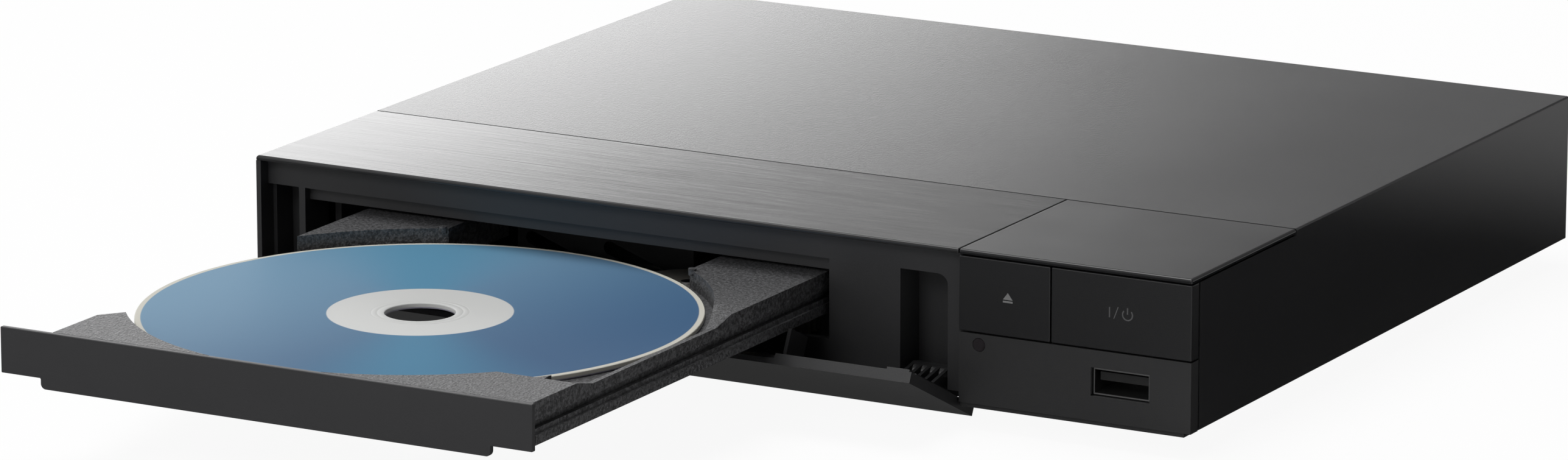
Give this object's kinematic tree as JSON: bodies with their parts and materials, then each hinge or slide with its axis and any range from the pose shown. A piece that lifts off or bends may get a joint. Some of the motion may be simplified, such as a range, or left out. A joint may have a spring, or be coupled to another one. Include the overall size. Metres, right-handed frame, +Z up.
{
  "type": "disc player",
  "caption": "Slim optical disc player with its tray out and its drop-down front flap open, a disc on the tray, two wide keys and a full disc drive inside.",
  "frame": {"origin": "on the table, in the middle of the whole footprint with the tray out", "axes": "+X to the player's right as seen from the front, +Y from the front towards the rear, +Z up"},
  "size_m": [0.23, 0.3178, 0.039],
  "materials": {
    "cover_paint": "satin",
    "brushed_trim": "hairline brushed, dark",
    "gloss_black": "polished",
    "panel_black": "satin",
    "frame_black": "satin",
    "flap_black": "satin",
    "tray_grey": "fine sparkle texture",
    "bezel_grey": "satin",
    "disc_face": "polished",
    "loader_black": "matte",
    "gear_white": "natural resin",
    "cam_white": "natural resin",
    "belt_rubber": "matte",
    "foot_rubber": "matte",
    "damper_rubber": "matte",
    "zinc_steel": "zinc plated",
    "screw_steel": "plated",
    "pin_steel": "ground",
    "motor_steel": "plated",
    "sled_metal": "die cast",
    "lens_glass": "coated",
    "table_rubber": "matte",
    "puck_plastic": "matte",
    "magnet": "plated",
    "board_green": "solder mask",
    "chip_black": "matte",
    "heatsink_black": "anodised",
    "capacitor_blue": "sleeved",
    "socket_metal": "plated",
    "socket_black": "matte",
    "audio_orange": "matte",
    "tongue_black": "matte",
    "switch_black": "matte",
    "window_dark": "tinted",
    "shield_metal": "plated",
    "ribbon_white": "laminated",
    "spring_steel": "drawn"
  },
  "bodies": {
    "case": {"top_cover": "cover_paint", "cover_screws": "screw_steel", "bottom_chassis": "zinc_steel", "rear_panel": "cover_paint", "rubber_feet": "foot_rubber", "top_trim": "brushed_trim", "control_cap": "gloss_black", "front_frame": "frame_black", "lower_panel": "panel_black", "remote_window": "window_dark", "flap_spring": "spring_steel", "loader_chassis": "loader_black", "damper_bushings": "damper_rubber", "loader_screws": "screw_steel", "gear_axles": "pin_steel", "drive_belt": "belt_rubber", "loading_motor": "motor_steel", "clamper_bridge": "zinc_steel", "main_board": "board_green", "board_chips": "chip_black", "heatsink": "heatsink_black", "capacitors": "capacitor_blue", "board_screws": "screw_steel", "video_port": "socket_metal", "network_port": "socket_black", "audio_jack": "audio_orange", "power_inlet": "socket_black", "front_board": "board_green", "tact_switches": "switch_black", "remote_receiver": "chip_black", "front_port_shell": "socket_metal", "front_port_tongue": "tongue_black", "radio_module": "shield_metal", "loader_ribbon": "ribbon_white", "front_ribbon": "ribbon_white"},
    "tray": {"tray": "tray_grey", "tray_bezel": "bezel_grey"},
    "disc": {"disc": "disc_face"},
    "flap": {"flap_door": "flap_black", "flap_pins": "pin_steel"},
    "eject_button": {"eject_button": "panel_black"},
    "power_button": {"power_button": "panel_black"},
    "tray_gear": {"tray_gear": "gear_white"},
    "pulley_gear": {"pulley_gear": "gear_white"},
    "motor_pulley": {"motor_pulley": "gear_white"},
    "cam": {"cam_slider": "cam_white"},
    "traverse": {"traverse_base": "zinc_steel", "guide_rods": "pin_steel", "spindle_motor": "motor_steel", "feed_motor": "motor_steel"},
    "turntable": {"turntable": "table_rubber"},
    "pickup": {"pickup_sled": "sled_metal", "objective_lens": "lens_glass"},
    "lead_screw": {"lead_screw": "pin_steel"},
    "clamper": {"clamper_puck": "puck_plastic", "clamp_magnet": "magnet"}
  },
  "joints": [
    {"name": "tray_slide", "type": "slide", "parent": "case", "child": "tray", "axis": [0, 1, 0], "range_m": [0, 0.122]},
    {"name": "disc_spin", "type": "hinge", "parent": "tray", "child": "disc", "pos_m": [-0.038, -0.0971, 0.0251], "axis": [0, 0, 1], "continuous": true},
    {"name": "flap_hinge", "type": "hinge", "parent": "case", "child": "flap", "pos_m": [0, -0.0334, 0.0087], "axis": [1, 0, 0], "range_deg": [0, 26], "stiffness_Nm_per_rad": 0.0035, "springref_deg": -64},
    {"name": "eject_press", "type": "slide", "parent": "case", "child": "eject_button", "axis": [0, 1, 0], "range_m": [0, 0.0004], "stiffness_N_per_m": 2500},
    {"name": "power_press", "type": "slide", "parent": "case", "child": "power_button", "axis": [0, 1, 0], "range_m": [0, 0.0004], "stiffness_N_per_m": 2500},
    {"name": "tray_gear_spin", "type": "hinge", "parent": "case", "child": "tray_gear", "pos_m": [0.001, -0.0206, 0.019], "axis": [0, 0, 1], "range_deg": [0, 700]},
    {"name": "pulley_gear_spin", "type": "hinge", "parent": "case", "child": "pulley_gear", "pos_m": [-0.01773, -0.01896, 0.014], "axis": [0, 0, -1], "range_deg": [0, 1493]},
    {"name": "motor_pulley_spin", "type": "hinge", "parent": "case", "child": "motor_pulley", "pos_m": [-0.06003, -0.0154, 0.015], "axis": [0, 0, -1], "range_deg": [0, 5665]},
    {"name": "traverse_lift", "type": "hinge", "parent": "case", "child": "traverse", "pos_m": [-0.036, 0.1014, 0.0146], "axis": [-1, 0, 0], "range_deg": [0, 3.15]},
    {"name": "cam_slide", "type": "slide", "parent": "case", "child": "cam", "axis": [1, 0, 0], "range_m": [0, 0.01601]},
    {"name": "spindle_spin", "type": "hinge", "parent": "traverse", "child": "turntable", "pos_m": [-0.038, 0.02472, 0.01579], "axis": [0, -0.0549, 0.9985], "continuous": true},
    {"name": "sled_slide", "type": "slide", "parent": "traverse", "child": "pickup", "axis": [0, 0.9985, 0.0549], "range_m": [0, 0.036]},
    {"name": "lead_screw_spin", "type": "hinge", "parent": "traverse", "child": "lead_screw", "pos_m": [-0.011, 0.06915, 0.01824], "axis": [0, -0.9985, -0.0549], "range_deg": [0, 4325]},
    {"name": "clamper_spin", "type": "hinge", "parent": "case", "child": "clamper", "pos_m": [-0.038, 0.0249, 0.03], "axis": [0, 0, 1], "continuous": true}
  ],
  "couplings": [
    {"joint": "tray_gear_spin", "follows": "tray_slide", "rad_per_m": 100},
    {"joint": "pulley_gear_spin", "follows": "tray_slide", "rad_per_m": 213.33},
    {"joint": "motor_pulley_spin", "follows": "tray_slide", "rad_per_m": 809.31},
    {"joint": "cam_slide", "follows": "traverse_lift", "m_per_rad": 0.29129},
    {"joint": "lead_screw_spin", "follows": "sled_slide", "rad_per_m": 2094.4}
  ]
}
